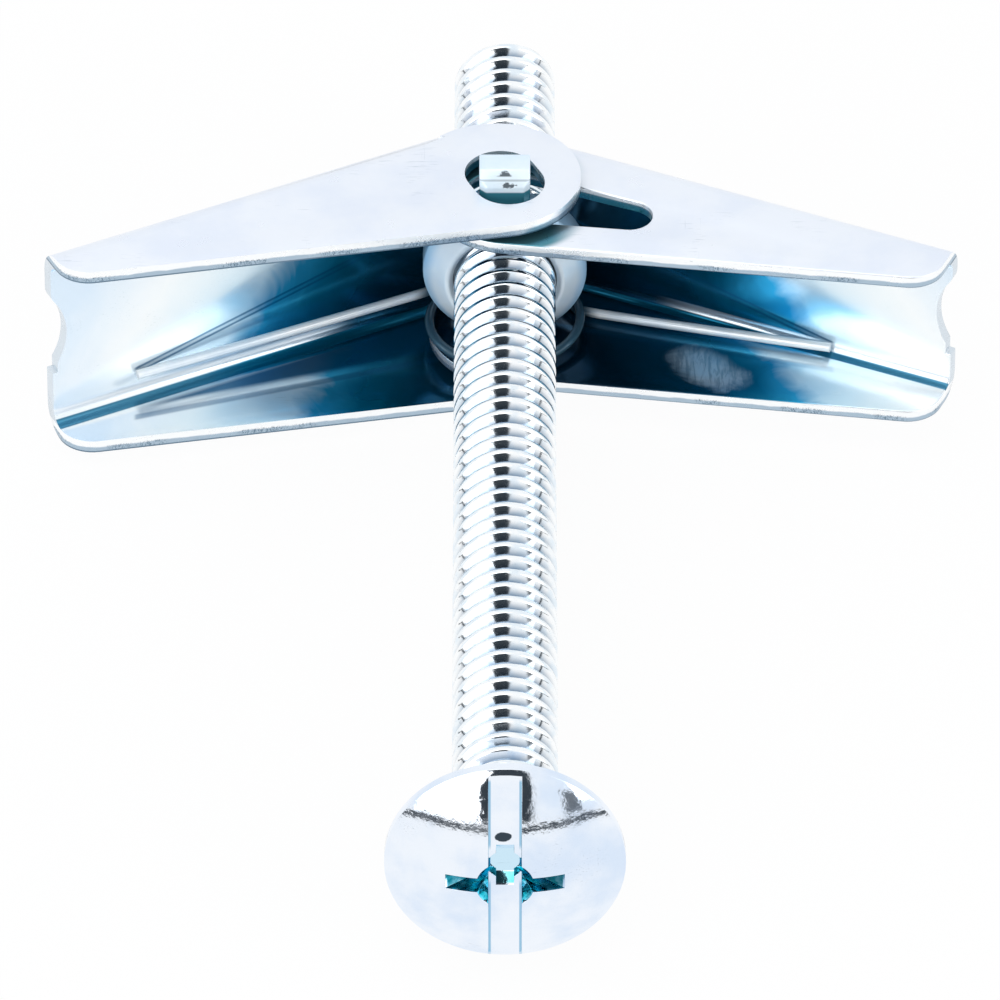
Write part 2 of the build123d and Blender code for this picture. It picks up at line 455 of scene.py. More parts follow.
@dataclass(frozen=True, kw_only=True)
class ChannelZinc(Zinc):
    """Plate inside a folded wing, with painted shade: deep blue beside the nut, teal, then pale at
    the tip.

    Args:
        axes: The wing's own directions.
        bend_at: Where the bend starts, from the hinge toward the web.
        bend_height: Height of the bend's centre.
        look: Where the painted shade and the other colours lie.
    """

    # Painted shade: deep blue beside the nut, through teal, to pale at the tip.
    SHADE_RUN = (
        (0.0, (0, 44, 66)),
        (0.24, (0, 80, 112)),
        (0.38, (0, 122, 158)),
        (0.47, (44, 166, 210)),
        (0.54, (222, 244, 255)),
        (0.80, (250, 254, 255)),
        (1.0, (222, 238, 252)),
    )
    WEB_TILT = 0.61
    WAVE_REACH = 3.6
    WIRE_REFLECTION = (0, 98, 140)
    LEG_TIP_HEIGHT = -4.2
    LEG_RISE = 0.256
    REFLECTION_SPREAD = 0.17
    PALE_PATCH = (214, 238, 255)
    PATCH_MIDDLE = (12.4, 4.0)
    PATCH_HALF = (2.2, 1.7)
    BEND_HIGHLIGHT = (240, 248, 255)
    BEND_SHADE = (0, 112, 146)

    axes: WingAxes
    bend_at: float
    bend_height: float
    look: ChannelLook

    def colour(self, graph: Graph) -> Value:
        """Base colour: painted shade that runs along the wing, with painted reflections and
        highlights.

        Args:
            graph: The material's nodes.

        Returns:
            The colour.
        """
        across, along, up = graph.axes()
        reach = across * self.axes.side
        _, toward_web = self.axes.local(across, along - PIVOT)
        inward = self.bend_at - toward_web
        waves = graph.noise((3.2, 3.2, 5.0), detail=3.0, distortion=1.2) - 0.5
        on_flange = inward.between(0.0, 0.5)
        web_lift = up * self.WEB_TILT + self.look.web_lead
        flange_lift = self.look.flange_lead - inward * self.look.flange_slope
        lift = (1 - on_flange) * web_lift + on_flange * flange_lift
        # Painted shade along the channel, shifted on the web and on the flange.
        toned = graph.ramp((reach + lift + waves * self.WAVE_REACH) / WING_LENGTH, self.SHADE_RUN)
        # Painted reflection and shadow of the spring's leg.
        wire_reflections = self.painted_wire_reflections(reach, inward, up, on_flange)
        toned = graph.paint(wire_reflections, toned, self.WIRE_REFLECTION)
        streaks = graph.noise((0.25, 1.6, 1.0), detail=3.0, distortion=0.6).between(0.36, 0.58)
        # A pale streaked patch on the lower flange.
        away = reach.oval(inward, self.PATCH_MIDDLE, self.PATCH_HALF) + waves * 2.6 + 0.3
        patch = away.between(1.8, 0.4) * (streaks * 0.4 + 0.6) * on_flange * up.between(0.0, -1.0)
        toned = graph.paint(patch * self.look.patch_strength, toned, self.PALE_PATCH)
        # Painted highlight where the lower bend meets the web, and a painted teal shade line where
        # it meets the flange.
        past_web = inward * -1.0
        under_bend = up * -1.0 - self.bend_height
        bend_highlight = (past_web - under_bend).between(0.0, 0.08) * under_bend.between(-0.1, 0.02)
        toned = graph.paint(bend_highlight * reach.between(9.0, 13.0) * 0.85, toned, self.BEND_HIGHLIGHT)
        bend_shade = (under_bend - past_web).between(-0.04, 0.06) * past_web.between(0.0, 0.1)
        return graph.paint(bend_shade * 0.95, toned, self.BEND_SHADE)

    def painted_wire_reflections(self, reach: Value, inward: Value, up: Value, on_flange: Value) -> Value:
        """Painted reflection and shadow of the spring's leg: dark blue lines in the web and the
        flange.

        Args:
            reach: Distance from the screw's axis along X.
            inward: Distance from the bend toward the flange's free edge.
            up: Height.
            on_flange: 1 on a flange, 0 on the web.

        Returns:
            Mask from 0 to 1.
        """
        before_tip = self.look.leg_reach - reach
        ends = before_tip.between(-0.1, 0.2)
        from_leg = abs(up - self.LEG_TIP_HEIGHT - before_tip * self.LEG_RISE)
        pair = from_leg.between(0.30, 0.22) * (1 - from_leg.between(0.13, 0.06) * 0.8)
        in_web = pair * (1 - on_flange) * ends * 0.75
        past_reflection = inward - before_tip * self.REFLECTION_SPREAD
        band = past_reflection.between(0.35, -0.15) * ends
        streak = abs(past_reflection - 0.9).between(0.34, 0.12) * ends * 0.6
        in_flange = band.at_least(streak) * on_flange * up.between(0.0, -1.0)
        return in_web.at_least(in_flange * self.look.image_strength)


@dataclass(frozen=True, kw_only=True)
class SheetEdge(Zinc):
    """Sheared edge of the sheet: bright at the upper corner, grey and rubbed at the lower."""

    DARK_TONE = (58, 92, 116)
    HOLE_CORNER_HIGHLIGHT = (246, 251, 255)
    HOLE_WALL_SHADE = (0, 116, 140)
    HOLE_TOWARD_TIP = (-3.0, 9.9)
    HOLE_TOWARD_WEB = (-2.8, 3.9)
    HOLE_SLANT = 0.2

    axes: WingAxes
    width: float

    def hole_mask(self, graph: Graph) -> Value:
        """The walls of the ear's hole or slot.

        Args:
            graph: The material's nodes.

        Returns:
            Mask from 0 to 1.
        """
        across, along, _ = graph.axes()
        toward_tip, toward_web = self.axes.local(across, along - PIVOT)
        first, last = self.HOLE_TOWARD_TIP
        lowest, highest = self.HOLE_TOWARD_WEB
        lengthwise = toward_tip.above(first, 0.1) * toward_tip.below(last, 0.1)
        over_edge = (toward_web - toward_tip * self.HOLE_SLANT).above(lowest, 0.1)
        return lengthwise * over_edge * toward_web.below(highest, 0.1)

    def colour(self, graph: Graph) -> Value:
        """Base colour through the sheet's thickness, with a painted highlight and painted shade in
        the ear's hole.

        Args:
            graph: The material's nodes.

        Returns:
            The colour.
        """
        _, _, up = graph.axes()
        depth = (self.width / 2 - abs(up)) / SHEET
        upper = up.above(0.0, 0.01)
        down = depth * upper + (1 - depth) * (1 - upper)
        on_web = depth.between(0.99, 1.06)
        on_flange = 1 - on_web
        waver = graph.noise((1.6, 1.6, 1.6), detail=3.0) - 0.5
        grey = (down + waver * 0.3).between(0.46, 0.60)
        body = self.toned(graph, grey * on_flange + on_web * 0.5)
        stretch = graph.noise((4.5, 4.5, 4.5), detail=1.0).between(0.50, 0.58)
        dark_patches = graph.noise((0.10, 0.30, 0.20), detail=4.0, distortion=1.5).between(0.50, 0.56)
        rubbed = stretch * dark_patches * down.between(0.40, 0.52) * 0.7
        line = down.between(0.84, 0.93) * 0.8
        edge = graph.paint(rubbed.at_least(line) * on_flange, body, self.DARK_TONE)
        # Painted highlight at the hole's upper corner, running into painted teal shade down its
        # wall.
        corner_to_wall = down.between(0.30, 0.42)
        hole_wall_shade = graph.mix(corner_to_wall, srgb(*self.HOLE_CORNER_HIGHLIGHT), srgb(*self.HOLE_WALL_SHADE))
        return graph.mix(self.hole_mask(graph) * 0.92, edge, hole_wall_shade)


@dataclass(frozen=True)
class HeadZinc(Zinc):
    """Plate of the head: pale dome and slot, with painted shade and reflections inside the cross.
    """

    CROSS_SHADE_RUN = (
        (0.0, (140, 214, 226)),
        (0.25, (0, 172, 184)),
        (0.50, (60, 206, 214)),
        (0.60, (0, 128, 142)),
        (1.0, (0, 150, 162)),
    )
    CROSS_SHADE_LENGTH = 3.6
    FLOOR = (204, 232, 248)
    SLOT_SIDE_SHADE = (110, 178, 214)
    REFLECTED_SPOT = (0, 34, 50)
    SPOT_MIDDLE = (-0.1, 2.1)
    SPOT_HALF = (0.5, 0.36)
    APEX = -2.8
    DOME_RADIUS = 12.4
    ARM_HALF = 1.85
    ARM_ENDS = (0.97, 3.85)
    FUNNEL_DEPTHS = (2.06, 2.475)
    FLOOR_DEPTH = 2.48
    SIDE_PLACE = (0.83, 1.005)
    SIDE_ENDS = (1.3, 6.35)

    def colour(self, graph: Graph) -> Value:
        """Base colour of the dome, its slot and its cross, with painted shade and reflections in
        the recess.

        Args:
            graph: The material's nodes.

        Returns:
            The colour.
        """
        across, along, up = graph.axes()
        span = abs(across)
        squared = across.square_sum(up)
        dome = squared / (2 * self.DOME_RADIUS) + self.APEX
        sunk = (along - dome).above(0.16, 0.06) * along.below(-0.15, 0.05)
        depth = along - self.APEX
        middle = squared.below(2.9, 0.3)
        first, last = self.ARM_ENDS
        mottle = graph.noise((0.5, 0.5, 0.5), detail=3.0).between(0.40, 0.62)
        arms = abs(up).below(self.ARM_HALF, 0.05) * span.above(first, 0.03) * span.below(last, 0.05)
        top, bottom = self.FUNNEL_DEPTHS
        funnel = depth.above(top, 0.04) * depth.below(bottom, 0.015) * up.below(0.8, 0.1) * middle
        cross = sunk * (arms * (mottle * 0.25 + 0.72)).at_least(funnel)
        # Painted shade and reflection: teal in the cross's arms and funnel.
        cross_shade = graph.ramp(span / self.CROSS_SHADE_LENGTH, self.CROSS_SHADE_RUN)
        dressed = graph.mix(cross, super().colour(graph), cross_shade)
        # The funnel's floor is painted back to a pale blue.
        dressed = graph.paint(middle * depth.above(self.FLOOR_DEPTH, 0.01), dressed, self.FLOOR)
        near, far = self.SIDE_PLACE
        low, high = self.SIDE_ENDS
        # Painted shade: bluer sides of the slot.
        sides = sunk * span.above(near, 0.03) * span.below(far, 0.015)
        sides = sides * abs(up).above(low, 0.3) * up.below(high, 0.15)
        dressed = graph.paint(sides * 0.75, dressed, self.SLOT_SIDE_SHADE)
        # Painted reflection: a dark spot in the recess.
        wobble = graph.noise((0.3, 0.3, 0.3), detail=3.0) - 0.5
        reflected_spot = across.oval(up, self.SPOT_MIDDLE, self.SPOT_HALF) + wobble
        return graph.paint(reflected_spot.below(0.95, 0.15) * sunk * 0.95, dressed, self.REFLECTED_SPOT)


@dataclass(frozen=True)
class NutZinc(Zinc):
    """Plate of the nut: painted blue shade at the rim, and pins with painted teal shade at the foot
    and painted dark reflections.
    """

    RIM_SHADE = (120, 186, 228)
    PIN_FOOT_SHADE = (0, 112, 130)
    DARK_TONE = (8, 30, 44)
    FRONT = -0.75
    PIN_START = 4.95
    FOOT_END = 6.96
    BLOTCH_MIDDLE = (0.2, 7.42)
    BLOTCH_HALF = (0.42, 0.13)
    REFLECTED_LINE_HEIGHT = 7.66
    TRIANGLE_ENDS = (7.83, 8.09)

    def colour(self, graph: Graph) -> Value:
        """Base colour with painted shade on the rim and the pins' feet, and painted reflections on
        the pins.

        Args:
            graph: The material's nodes.

        Returns:
            The colour.
        """
        across, along, up = graph.axes()
        height = abs(up)
        front = (along - PIVOT).below(self.FRONT, 0.15)
        on_pin = height.above(self.PIN_START, 0.15)
        # Painted reflections: a dark blotch, a dark triangle and a dark line on the front of each
        # pin.
        wobble = graph.noise((0.22, 0.22, 0.22), detail=4.0, roughness=0.7) - 0.5
        reflected_blotch = across.oval(height, self.BLOTCH_MIDDLE, self.BLOTCH_HALF) + wobble * 5.0
        low, high = self.TRIANGLE_ENDS
        reflected_triangle = abs(across) * 1.1 + (height - 7.86) * 1.5 + wobble * 0.9
        reflected_triangle = reflected_triangle.below(0.4, 0.1) * height.above(low, 0.03) * height.below(high, 0.03)
        reflected_line = abs(height - self.REFLECTED_LINE_HEIGHT).below(0.045, 0.015) * 0.45
        dark_patches = reflected_blotch.below(1.0, 0.2).at_least(reflected_triangle).at_least(reflected_line) * front * on_pin
        # Painted shade: the nut's rim turns bluer.
        rim_shade = across.hypot(up).between(4.3, 4.95) * height.between(5.2, 4.9)
        dressed = graph.paint(rim_shade * 0.6, super().colour(graph), self.RIM_SHADE)
        # Painted shade: teal at the foot of each pin.
        foot_shade = on_pin * height.below(self.FOOT_END, 0.06)
        dressed = graph.paint(foot_shade * 0.95, dressed, self.PIN_FOOT_SHADE)
        return graph.paint(dark_patches * 0.85, dressed, self.DARK_TONE)


@dataclass(frozen=True)
class SpringZinc(Zinc):
    """Plate of the wire: pale legs, with a coil that mirrors the dark channel."""

    COIL_REFLECTION = (0, 66, 88)
    COIL_REACH = 5.5

    def colour(self, graph: Graph) -> Value:
        """Base colour by distance from the screw's hinge line, with a painted reflection on the
        coil.

        Args:
            graph: The material's nodes.

        Returns:
            The colour.
        """
        across, along, _ = graph.axes()
        # Painted reflection of the dark channel on the coil.
        coil = across.hypot(along - PIVOT).below(self.COIL_REACH, 0.5)
        return graph.paint(coil * 0.95, super().colour(graph), self.COIL_REFLECTION)


@dataclass(frozen=True)
class ShadedEar(Zinc):
    """Plate of the inner wing, teal where the outer wing's ear hangs over it."""

    SHADE = (0, 124, 142)
    SHADE_RADIUS = 5.8
    SHADE_HEIGHT = 4.2
    SHADE_END = 3.9

    def colour(self, graph: Graph) -> Value:
        """Base colour by distance from the hinge.

        Args:
            graph: The material's nodes.

        Returns:
            The colour.
        """
        across, along, up = graph.axes()
        under = across.hypot(along - PIVOT).below(self.SHADE_RADIUS, 0.3)
        under = under * up.above(self.SHADE_HEIGHT, 0.2) * across.below(self.SHADE_END, 1.3)
        return graph.paint(under * 0.9, super().colour(graph), self.SHADE)


@dataclass(frozen=True)
class ThreadZinc(Zinc):
    """Rolled thread: pale crests, and painted shade that turns the roots blue-grey."""

    ROOT_SHADE = (96, 128, 158)
    ROOT_RADIUS = 2.55

    def colour(self, graph: Graph) -> Value:
        """Base colour with painted shade that darkens toward the root of the thread.

        Args:
            graph: The material's nodes.

        Returns:
            The colour.
        """
        across, _, up = graph.axes()
        # Painted shade: darker toward the thread's roots.
        depth = across.hypot(up).between(CREST_RADIUS - 0.06, self.ROOT_RADIUS)
        clouds = graph.noise((1.1, 0.6, 1.1), detail=4.0).between(0.42, 0.66)
        return graph.paint(depth * 0.85, self.toned(graph, clouds * 0.8), self.ROOT_SHADE)


class Workshop:
    """Modelling steps that pieces share, all done with Blender's own operators."""

    @staticmethod
    def select_only(piece: bpy.types.Object) -> None:
        """Select one object and make it active.

        Args:
            piece: The object.
        """
        bpy.ops.object.select_all(action="DESELECT")
        bpy.context.view_layer.objects.active = piece
        piece.select_set(True)

    @classmethod
    @contextmanager
    def editing(cls, piece: bpy.types.Object) -> Iterator[None]:
        """Keep a piece in edit mode, with its whole mesh selected at first.

        Args:
            piece: The piece.
        """
        cls.select_only(piece)
        bpy.ops.object.mode_set(mode="EDIT")
        bpy.ops.mesh.select_all(action="SELECT")
        yield
        bpy.ops.object.mode_set(mode="OBJECT")

    @classmethod
    def copy_of(cls, node: str, name: str) -> bpy.types.Object:
        """Copy a CAD node's mesh into a new piece and join its loose triangles.

        Args:
            node: The CAD node.
            name: The new piece's name.

        Returns:
            The new piece.
        """
        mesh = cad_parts[node].data.copy()
        mesh.materials.clear()
        piece = bpy.data.objects.new(name, mesh)
        bpy.context.scene.collection.objects.link(piece)
        cls.select_only(piece)
        if mesh.has_custom_normals:
            bpy.ops.mesh.customdata_custom_splitnormals_clear()
        with cls.editing(piece):
            bpy.ops.mesh.remove_doubles(threshold=0.0005 * MM)
            bpy.ops.mesh.dissolve_limited(angle_limit=math.radians(0.4))
        return piece

    @classmethod
    def cut(
        cls, piece: bpy.types.Object, height: float, keep_above: bool, fill: bool = True
    ) -> None:
        """Cut a piece square across the screw's axis.

        Args:
            piece: What is cut.
            height: Where along the screw.
            keep_above: Whether the side toward the tip stays.
            fill: Whether the cut is closed.
        """
        with cls.editing(piece):
            bpy.ops.mesh.bisect(
                plane_co=(0, height * MM, 0), plane_no=(0, 1, 0), threshold=0.0005 * MM,
                use_fill=fill, clear_inner=keep_above, clear_outer=not keep_above,
            )

    @classmethod
    def close_ends(cls, piece: bpy.types.Object) -> None:
        """Close the open ends of a tube.

        Args:
            piece: The tube.
        """
        with cls.editing(piece):
            bpy.ops.mesh.remove_doubles(threshold=0.004 * MM)
            bpy.ops.mesh.select_all(action="DESELECT")
            bpy.ops.mesh.select_mode(type="EDGE")
            bpy.ops.mesh.select_non_manifold(
                extend=False, use_wire=False, use_multi_face=False, use_non_contiguous=False
            )
            bpy.ops.mesh.fill_holes(sides=0)
            bpy.ops.mesh.select_mode(type="VERT")

    @classmethod
    def bevel(cls, piece: bpy.types.Object, width: float, degrees: float = 38.0) -> None:
        """Round a piece's sharp edges.

        Args:
            piece: What is rounded.
            width: Width of the rounding.
            degrees: Edges sharper than this are rounded.
        """
        cls.select_only(piece)
        rounding = piece.modifiers.new("rounding", "BEVEL")
        rounding.width = width * MM
        rounding.segments = 3
        rounding.limit_method = "ANGLE"
        rounding.angle_limit = math.radians(degrees)
        bpy.ops.object.modifier_apply(modifier=rounding.name)
        with cls.editing(piece):
            bpy.ops.mesh.dissolve_degenerate(threshold=0.0004 * MM)

    @classmethod
    def smooth(cls, piece: bpy.types.Object, degrees: float = 32.0) -> None:
        """Shade a piece smoothly across edges that turn by less than some degrees."""
        cls.select_only(piece)
        bpy.ops.object.shade_smooth_by_angle(angle=math.radians(degrees))

    @classmethod
    def face_outwards(cls, piece: bpy.types.Object) -> None:
        """Join doubles and turn every face outwards."""
        with cls.editing(piece):
            bpy.ops.mesh.remove_doubles(threshold=0.002 * MM)
            bpy.ops.mesh.normals_make_consistent(inside=False)


@dataclass
class ThreadedScrew:
    """The screw: a domed head with its slot and cross, and a rolled thread."""

    thread_depth: float = 0.62
    pitch: float = 1.27
    crest_at: float = 1.06
    crest_flat: float = 0.30
    root_flat: float = 0.16
    soft: float = 0.06
    turn_steps: int = 56
    spare_turns: int = 3
    head_cut: float = 0.28
    thread_start: float = 0.12
    tip: float = 75.7
    chamfer: float = 0.75
    edge_rounding: float = 0.10

    def build(self) -> list[bpy.types.Object]:
        """Make the head and the thread."""
        return [self.build_head(), self.build_thread()]

    def build_head(self) -> bpy.types.Object:
        """Cut the head from the CAD screw and round its edges.

        Returns:
            The head.
        """
        head = Workshop.copy_of("screw", "screw_head")
        Workshop.cut(head, self.head_cut, keep_above=False)
        Workshop.bevel(head, self.edge_rounding)
        Workshop.smooth(head)
        shine = {"roughness": 0.08, "metallic": 1.0, "ripple": 5.0, "ripple_size": 0.3}
        plate = HeadZinc("zinc_head", (240, 246, 254), (218, 232, 250), **shine)
        head.data.materials.append(plate.material())
        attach(head, "screw")
        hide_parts("screw")
        return head

    def profile(self) -> list[Pair]:
        """One pitch of the thread, from crest to crest.

        Returns:
            Points, as distance along the screw and radius.
        """
        crest = CREST_RADIUS
        root = crest - self.thread_depth
        half_crest = self.crest_flat / 2
        half_root = self.root_flat / 2
        middle = self.pitch / 2
        rising = [
            (0.0, crest),
            (half_crest * 0.7, crest),
            (half_crest + 0.02, crest - self.soft * 0.5),
            (half_crest + 0.08, crest - self.soft * 2),
            (middle - half_root - 0.07, root + self.soft * 1.6),
            (middle - half_root, root + self.soft * 0.3),
            (middle, root),
        ]
        falling = [(self.pitch - along, radius) for along, radius in reversed(rising[1:-1])]
        return rising + falling + [(self.pitch, crest)]

    def build_thread(self) -> bpy.types.Object:
        """Draw one pitch of the thread as a chain of edges and turn it into a helix.

        Returns:
            The thread.
        """
        points = self.profile()
        start = self.crest_at - self.spare_turns * self.pitch
        bpy.ops.mesh.primitive_plane_add(size=MM, location=(0, start * MM, CREST_RADIUS * MM))
        thread = bpy.context.object
        thread.name = "screw_thread"
        bpy.ops.object.transform_apply(location=True, rotation=True, scale=True)
        with Workshop.editing(thread):
            bpy.ops.mesh.merge(type="CENTER")
            for (along, radius), (next_along, next_radius) in zip(points, points[1:]):
                step = (0, (next_along - along) * MM, (next_radius - radius) * MM)
                bpy.ops.mesh.extrude_region_move(TRANSFORM_OT_translate={"value": step})
        helix = thread.modifiers.new("helix", "SCREW")
        helix.axis = "Y"
        helix.angle = 2 * math.pi
        helix.screw_offset = self.pitch * MM
        helix.iterations = math.ceil(self.tip / self.pitch) + self.spare_turns + 1
        helix.steps = self.turn_steps
        helix.use_merge_vertices = True
        helix.merge_threshold = 0.002 * MM
        Workshop.select_only(thread)
        bpy.ops.object.modifier_apply(modifier=helix.name)
        Workshop.face_outwards(thread)
        Workshop.cut(thread, self.thread_start, keep_above=True, fill=False)
        Workshop.cut(thread, self.tip, keep_above=False, fill=False)
        self.chamfer_tip(thread)
        Workshop.close_ends(thread)
        Workshop.face_outwards(thread)
        Workshop.smooth(thread, 40.0)
        shine = {"roughness": 0.09, "metallic": 1.0, "ripple": 1.2}
        plate = ThreadZinc("zinc_thread", (252, 254, 255), (228, 240, 249), **shine)
        thread.data.materials.append(plate.material())
        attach(thread, "screw")
        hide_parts("screw")
        return thread

    def chamfer_tip(self, thread: bpy.types.Object) -> None:
        """Draw the crests at the tip in to the chamfer's cone.

        Args:
            thread: The thread.
        """
        cone_start = self.tip - self.chamfer
        for vertex in thread.data.vertices:
            past = vertex.co.y / MM - cone_start
            if past <= 0:
                continue
            limit = (CREST_RADIUS - past) * MM
            radius = math.hypot(vertex.co.x, vertex.co.z)
            if radius > limit:
                vertex.co.x *= limit / radius
                vertex.co.z *= limit / radius


class Place(Enum):
    """What part of a folded wing a face belongs to, by the number of its material."""

    OUTSIDE = 0
    CHANNEL = 1
    EDGE = 2


@dataclass
class FoldedWing:
    """One wing, folded from sheet: plate outside, painted shade in its channel.

    Its web_distance is from the hinge to the web's outside, bend_inside is the inside radius of
    its bends, and plate is the kind of zinc on its outside.
    """

    EDGE_ROUNDING = 0.15
    WEB_START = 2.2
    WEB_GROWTH = 0.8
    START_SLACK = 0.22
    PLACE_SLACK = 0.05

    node: str
    piece: str
    axes: WingAxes
    width: float
    web_distance: float
    bend_inside: float
    look: ChannelLook
    plate: type[Zinc] = Zinc

    @property
    def bend_at(self) -> float:
        """Where the bends start, from the hinge toward the web."""
        return self.web_distance - SHEET - self.bend_inside

    def build(self) -> bpy.types.Object:
        """Copy the CAD wing, round its sheared edges and dress its sides.

        Returns:
            The wing.
        """
        wing = Workshop.copy_of(self.node, self.piece)
        Workshop.bevel(wing, self.EDGE_ROUNDING)
        self.lengthen_web(wing)
        Workshop.smooth(wing)
        for plate in self.plates():
            wing.data.materials.append(plate.material())
        for face in wing.data.polygons:
            face.material_index = self.place_of(face.center / MM, face.normal).value
        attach(wing, self.node)
        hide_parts(self.node)
        return wing

    def plates(self) -> list[Zinc]:
        """Plate of each place on the wing, in the order of Place.

        Returns:
            The three kinds.
        """
        outside = self.plate("zinc_" + self.node, (238, 243, 251), (230, 237, 249), roughness=0.3)
        shine = {"roughness": 0.17, "scratches": 0.2, "metallic": 0.7}
        channel = ChannelZinc(
            "zinc_channel_" + self.node, (236, 241, 250), (228, 235, 248), **shine,
            axes=self.axes,
            bend_at=self.bend_at,
            bend_height=self.width / 2 - SHEET - self.bend_inside,
            look=self.look,
        )
        shine = {"roughness": 0.28, "scratches": 0.6}
        edge = SheetEdge(
            "zinc_edge_" + self.node, (252, 254, 255), (172, 192, 208), **shine,
            axes=self.axes,
            width=self.width,
        )
        return [outside, channel, edge]

    def lengthen_web(self, wing: bpy.types.Object) -> None:
        """Draw the web's near edge toward the screw, so no light shows beside the nut.

        Args:
            wing: The wing.
        """
        step = -self.axes.tip_direction * self.WEB_GROWTH * MM
        for vertex in wing.data.vertices:
            place = vertex.co / MM
            toward_tip, toward_web = self.axes.local(place.x, place.y - PIVOT)
            at_start = abs(toward_tip - self.WEB_START) < self.START_SLACK
            if at_start and toward_web > self.bend_at - 0.02:
                vertex.co += step

    def place_of(self, centre: Vector, normal: Vector) -> Place:
        """Tell outside, channel and sheared edge apart.

        Args:
            centre: The face's centre in millimetres.
            normal: The face's normal.

        Returns:
            What the face belongs to.
        """
        _, toward_web = self.axes.local(centre.x, centre.y - PIVOT)
        _, facing_web = self.axes.local(normal.x, normal.y)
        inside_flanges = abs(centre.z) < self.width / 2 - SHEET + self.PLACE_SLACK
        inside_web = toward_web < self.web_distance - SHEET + self.PLACE_SLACK
        faces_in = normal.z * centre.z < -0.3 * abs(centre.z) or facing_web < -0.5
        if inside_flanges and inside_web and faces_in:
            return Place.CHANNEL
        flange_outside = abs(normal.z) > 0.7 and not inside_flanges
        web_outside = facing_web > 0.5
        if flange_outside or web_outside:
            return Place.OUTSIDE
        return Place.EDGE


@dataclass
class TrunnionNut:
    """The nut with its two square pins."""

    edge_rounding: float = 0.12
    sharp: float = 25.0

    def build(self) -> bpy.types.Object:
        """Copy the CAD nut and round its edges.

        Returns:
            The nut.
        """
        nut = Workshop.copy_of("trunnion_nut", "nut_body")
        Workshop.bevel(nut, self.edge_rounding, self.sharp)
        Workshop.smooth(nut)
        plate = NutZinc(
            "zinc_nut", (232, 246, 255), (212, 234, 254), roughness=0.22, metallic=0.15
        )
        nut.data.materials.append(plate.material())
        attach(nut, "nut")
        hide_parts("trunnion_nut")
        return nut


@dataclass
class TorsionSpring:
    """The spring's wire: a coil that stays with the nut, and a leg toward each wing.

    The coil starts coil_drop below the screw's axis and drops by coil_pitch in a turn. Its first
    and last split_degrees go with the legs, and bend_degrees of those give way to the bend into
    the leg. A root is X and Y where a leg would meet the coil, and a tip is that leg's end.
    """

    wire_radius: float = 0.3
    coil_radius: float = 4.65
    coil_pitch: float = 0.64
    coil_drop: float = 3.525
    step_degrees: float = 7.5
    split_degrees: float = 80.0
    bend_degrees: float = 3.0
    outer_root: Pair = (-4.09, 58.31)
    outer_tip: Point = (-22.5, 50.75, -4.16)
    inner_root: Pair = (4.55, 57.07)
    inner_tip: Point = (19.98, 53.37, -4.09)

    @staticmethod
    def degrees_at(root: Pair) -> float:
        """Angle from +X of a place on the coil."""
        return math.degrees(math.atan2(root[1] - PIVOT, root[0]))

    def coil_point(self, degrees: float) -> Point:
        """A point on the coil.

        Args:
            degrees: How far along the coil from its first end.

        Returns:
            The point.
        """
        angle = math.radians(self.degrees_at(self.outer_root) - degrees)
        return (
            self.coil_radius * math.cos(angle),
            PIVOT + self.coil_radius * math.sin(angle),
            -self.coil_drop - self.coil_pitch * degrees / 360,
        )

    def arc(self, low: float, high: float) -> list[Point]:
        """Points of the coil from one place to another.

        Args:
            low: The first place, in degrees from the coil's first end.
            high: The last place.

        Returns:
            The points.
        """
        count = max(2, round((high - low) / self.step_degrees))
        return [self.coil_point(low + (high - low) * index / count) for index in range(count + 1)]

    def tube(
        self, name: str, points: Sequence[Point], material: bpy.types.Material
    ) -> bpy.types.Object:
        """Sweep the wire along points.

        Args:
            name: The piece's name.
            points: The wire's centre line.
            material: The wire's plate.

        Returns:
            The piece.
        """
        bpy.ops.curve.primitive_nurbs_path_add()
        wire = bpy.context.object
        wire.name = name
        wire.data.splines.clear()
        spline = wire.data.splines.new("NURBS")
        spline.points.add(len(points) - 1)
        for control, point in zip(spline.points, points):
            control.co = (*(Vector(point) * MM), 1.0)
        spline.order_u = 3
        spline.use_endpoint_u = True
        spline.resolution_u = 4
        wire.data.dimensions = "3D"
        wire.data.bevel_depth = self.wire_radius * MM
        wire.data.bevel_resolution = 4
        wire.data.use_fill_caps = True
        Workshop.select_only(wire)
        bpy.ops.object.convert(target="MESH")
        wire = bpy.context.object
        Workshop.face_outwards(wire)
        Workshop.smooth(wire, 50.0)
        wire.data.materials.append(material)
        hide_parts("torsion_spring")
        return wire

    def build(self) -> list[bpy.types.Object]:
        """Make the coil and both legs.

        Returns:
            The three pieces.
        """
        plate = SpringZinc(
            "spring_zinc", (253, 255, 255), (228, 240, 250), roughness=0.2, metallic=0.25
        ).material()
        total = self.degrees_at(self.outer_root) - self.degrees_at(self.inner_root) + 360
        outer_end = self.split_degrees
        inner_end = total - self.split_degrees
        outer_arc = self.arc(self.bend_degrees, outer_end)
        inner_arc = self.arc(inner_end, total - self.bend_degrees)
        outer_leg = self.tube("spring_outer_leg", [self.outer_tip, *outer_arc], plate)
        coil = self.tube("spring_coil", self.arc(outer_end, inner_end), plate)
        inner_leg = self.tube("spring_inner_leg", [*inner_arc, self.inner_tip], plate)
        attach(coil, "nut")
        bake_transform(outer_leg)
        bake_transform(inner_leg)
        return [outer_leg, coil, inner_leg]


@dataclass(frozen=True)
class Stand:
    """A dark upright thing in front of the part, which only reflections see.

    Args:
        heading: How far to the side it is, as a slope from straight ahead.
        half_width: Half of its width, as a slope.
        soft: How soft its sides are.
        top: Height of its top, as the sine of the angle over the horizon.
        strength: How dark it is, from 0 to 1.
    """

    heading: float
    half_width: float
    soft: float
    top: float
    strength: float


